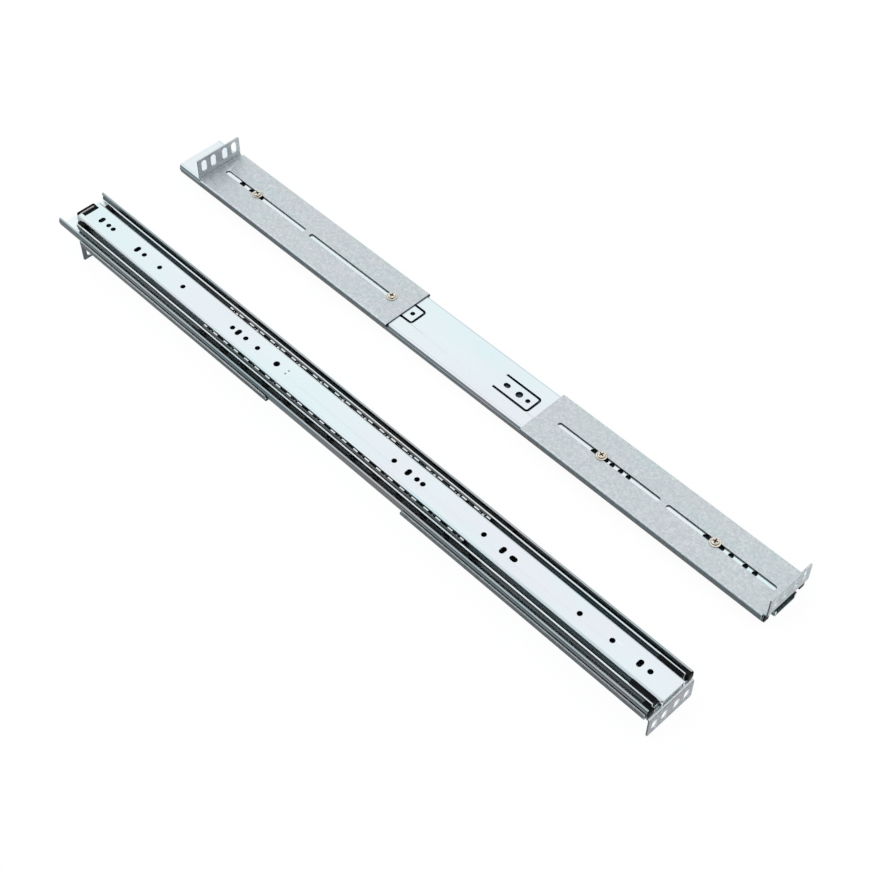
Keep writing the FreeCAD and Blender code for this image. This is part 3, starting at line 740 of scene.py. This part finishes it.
bracket_finishes = {"plate": galvanised_plate, "bend": galvanised_bend_shade, "flange": galvanised_flange_shade,
                    "rim": galvanised_rim, "crease": galvanised_crease_shade, "cut": slot_wall_shade, "ear": galvanised_ear_shade,
                    "edge": bare_edge}

# the left ears carry more painted shade than the right ones, although the part is the same
galvanised_shade = galvanised("galvanised_shade", (0.27, 0.285, 0.31), (0.5, 0.515, 0.55), 0.36, 0.5)
for side in sides:
    for end in ("front", "rear"):
        shaded = {"ear": galvanised_shade if end == "front" else galvanised_flange_shade} if side == "left" else {}
        dressed(f"{side}_{end}_bracket", f"{side}_{end}_mount", {**bracket_finishes, **shaded},
                bracket_finish, bracket_edge)


# ---- Bracket screws ---------------------------------------------------------------------
# Nickel-plated M5 screws, two through each bracket into the outer channel's back.
# The seat ring and the smaller head are drawn here only, and the ring stands
# clear of the plate by seat_gap.

nickel = patchy_metal("warm_nickel", (0.80, 0.76, 0.66), (0.5, 0.44, 0.34), (0.9, 0.89, 0.84),
                      clouds=320.0, amount=0.9, lines=1.0, smooth=0.14, rough=0.28)
# painted shade: the cross recess near black, and the head's flank dark brown
recess_dark = moulded("recess_shadow", (0.03, 0.026, 0.022), (0.06, 0.05, 0.04), 0.4, 0.6, 1200.0)
flank_shade = patchy_metal("nickel_flank_shade", (0.2, 0.165, 0.12), (0.1, 0.08, 0.055), (0.42, 0.38, 0.3),
                         clouds=260.0, amount=0.9, lines=1.0, smooth=0.2, rough=0.36)

seat_radius = 0.0058
seat_height = 0.0007
seat_gap = 0.00003
head_radius = 0.0043
head_height = 0.0026
shank_radius = 0.0025
shank_length = 0.0034
thread_pitch = 0.0008
recess_depth = 0.0016
recess_reach = 0.0029
recess_width = 0.0015
recess_taper = (0.6, 0.8)
dome_radius = 0.0016
dome_base = 0.001
dome_steps = 6
hair = 0.0001
chamfer = 0.0003
thread_depth = 0.0003
point_taper = 0.0005
cutter_margin = 0.0005
screw_seed = 4


def spun(profile, around=32):
    """A closed bmesh of a profile of (radius, height) points spun round Z, its ends on the axis."""
    work = bmesh.new()
    points = [work.verts.new((radius, 0, height)) for radius, height in profile]
    edges = [work.edges.new(pair) for pair in zip(points, points[1:])]
    bmesh.ops.spin(work, geom=points + edges, cent=(0, 0, 0), axis=(0, 0, 1), angle=2 * math.pi, steps=around,
                   use_merge=True)
    bmesh.ops.remove_doubles(work, verts=work.verts, dist=1e-7)
    bmesh.ops.recalc_face_normals(work, faces=work.faces)
    return work


# the screw stands head down its own -Z, with its seat at Z = 0
profile = [(0, -head_height)]
for k in range(dome_steps + 1):
    angle = math.radians(90 / dome_steps * k)
    profile.append((head_radius - dome_radius * (1 - math.sin(angle)), -dome_base - dome_radius * math.cos(angle)))
profile += [(head_radius - hair, -seat_height - hair), (head_radius + hair, -seat_height),
            (seat_radius - chamfer, -seat_height), (seat_radius, -seat_height + chamfer), (seat_radius, -hair),
            (seat_radius - hair, -seat_gap), (shank_radius - thread_depth, -seat_gap)]
crests = int(shank_length / thread_pitch)
for k in range(crests):
    profile += [(shank_radius - thread_depth, (k + 0.15) * thread_pitch), (shank_radius, (k + 0.5) * thread_pitch),
                (shank_radius - thread_depth, (k + 0.85) * thread_pitch)]
profile += [(shank_radius - point_taper, shank_length), (0, shank_length)]
work = spun(profile)
screw_mesh = bpy.data.meshes.new("pan_screw")
work.to_mesh(screw_mesh)
work.free()
screw_mesh.materials.append(nickel)
screw_mesh.materials.append(recess_dark)
screw = bpy.data.objects.new("pan_screw", screw_mesh)
bpy.context.collection.objects.link(screw)
work = bmesh.new()
for long_x, long_y in ((recess_reach, recess_width / 2), (recess_width / 2, recess_reach)):
    ring = [work.verts.new((x, y, -head_height - cutter_margin))
            for x, y in ((-long_x, -long_y), (long_x, -long_y), (long_x, long_y), (-long_x, long_y))]
    deep = [work.verts.new((v.co.x * recess_taper[0], v.co.y * recess_taper[1], -head_height + recess_depth))
            for v in ring]
    work.faces.new(ring)
    work.faces.new(list(reversed(deep)))
    for a in range(4):
        b = (a + 1) % 4
        work.faces.new((ring[a], deep[a], deep[b], ring[b]))
bmesh.ops.recalc_face_normals(work, faces=work.faces)
for face in work.faces:
    face.material_index = 1
driver_mesh = bpy.data.meshes.new("cross_recess")
work.to_mesh(driver_mesh)
work.free()
driver_mesh.materials.append(nickel)
driver_mesh.materials.append(recess_dark)
driver = bpy.data.objects.new("cross_recess", driver_mesh)
bpy.context.collection.objects.link(driver)
cut = screw.modifiers.new("recess", "BOOLEAN")
cut.operation = "DIFFERENCE"
cut.solver = "EXACT"
cut.use_self = True
cut.object = driver
driven = bpy.data.meshes.new_from_object(screw.evaluated_get(bpy.context.evaluated_depsgraph_get()))
screw.modifiers.clear()
screw.data = driven
bpy.data.objects.remove(driver)
for face in driven.polygons:
    face.use_smooth = True
driven.set_sharp_from_angle(angle=math.radians(32))
mark = driven.attributes.new("recess", "BOOLEAN", "FACE")
for face in driven.polygons:
    mark.data[face.index].value = face.material_index == 1
flank_slope = 0.75
flank_height = 0.0021
flank = driven.attributes.new("flank", "BOOLEAN", "FACE")
for face in driven.polygons:
    flank.data[face.index].value = (face.material_index == 0 and abs(face.normal.z) < flank_slope
                                    and -flank_height < face.center.z < 0)

screw_row, ends_in, ends_out = geometry_tree("screw_row", {"Screw": "Object", "Turn": "Vector", "Seed": "Int"})
pattern = screw_row.nodes.new("GeometryNodeObjectInfo")
screw_row.links.new(ends_in.outputs["Screw"], pattern.inputs["Object"])
twist = screw_row.nodes.new("FunctionNodeRandomValue")
twist.data_type = "FLOAT"
twist.inputs[2].default_value = 0.0
twist.inputs[3].default_value = math.pi / 2
screw_row.links.new(ends_in.outputs["Seed"], twist.inputs["Seed"])
spin_round = screw_row.nodes.new("ShaderNodeCombineXYZ")
screw_row.links.new(twist.outputs[1], spin_round.inputs["Z"])
lie = screw_row.nodes.new("ShaderNodeVectorMath")
lie.operation = "ADD"
screw_row.links.new(spin_round.outputs[0], lie.inputs[0])
screw_row.links.new(ends_in.outputs["Turn"], lie.inputs[1])
placed = screw_row.nodes.new("GeometryNodeInstanceOnPoints")
screw_row.links.new(ends_in.outputs["Geometry"], placed.inputs["Points"])
screw_row.links.new(pattern.outputs["Geometry"], placed.inputs["Instance"])
screw_row.links.new(lie.outputs[0], placed.inputs["Rotation"])
real = screw_row.nodes.new("GeometryNodeRealizeInstances")
screw_row.links.new(placed.outputs[0], real.inputs[0])
plating = screw_row.nodes.new("GeometryNodeSetMaterial")
plating.inputs["Material"].default_value = nickel
screw_row.links.new(real.outputs[0], plating.inputs["Geometry"])
sunk = screw_row.nodes.new("GeometryNodeInputNamedAttribute")
sunk.data_type = "BOOLEAN"
sunk.inputs["Name"].default_value = "recess"
shadow = screw_row.nodes.new("GeometryNodeSetMaterial")
shadow.inputs["Material"].default_value = recess_dark
flank_shade_mask = screw_row.nodes.new("GeometryNodeInputNamedAttribute")
flank_shade_mask.data_type = "BOOLEAN"
flank_shade_mask.inputs["Name"].default_value = "flank"
# painted shade on the head's flank
flank_shade_paint = screw_row.nodes.new("GeometryNodeSetMaterial")
flank_shade_paint.inputs["Material"].default_value = flank_shade
screw_row.links.new(plating.outputs[0], flank_shade_paint.inputs["Geometry"])
screw_row.links.new(flank_shade_mask.outputs["Attribute"], flank_shade_paint.inputs["Selection"])
screw_row.links.new(flank_shade_paint.outputs[0], shadow.inputs["Geometry"])
screw_row.links.new(sunk.outputs["Attribute"], shadow.inputs["Selection"])
screw_row.links.new(shadow.outputs[0], ends_out.inputs[0])

for side in sides:
    node = f"{side}_bracket_bolts"
    ends = sorted(vertex.co.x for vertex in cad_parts[node].data.vertices)
    # a gap along the row that is wider than a seat ring's radius parts one screw's points from the next's
    breaks = [k for k in range(1, len(ends)) if ends[k] - ends[k - 1] > seat_radius]
    groups = [ends[a:b] for a, b in zip([0] + breaks, breaks + [len(ends)])]
    to_row = slide_to_row(side)
    low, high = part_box(node)
    seat = low[2] + head_height if side == "left" else high[2] - head_height
    places = [((group[0] + group[-1]) / 2, (low[1] + high[1]) / 2, seat) for group in groups]
    screws = grown(f"{node}_nickel", screw_row,
                   {"Screw": screw, "Turn": (0.0 if side == "left" else math.pi, 0.0, 0.0),
                    "Seed": screw_seed}, places)
    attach(screws, "outer_pair")
    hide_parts(node)
bpy.data.objects.remove(screw)
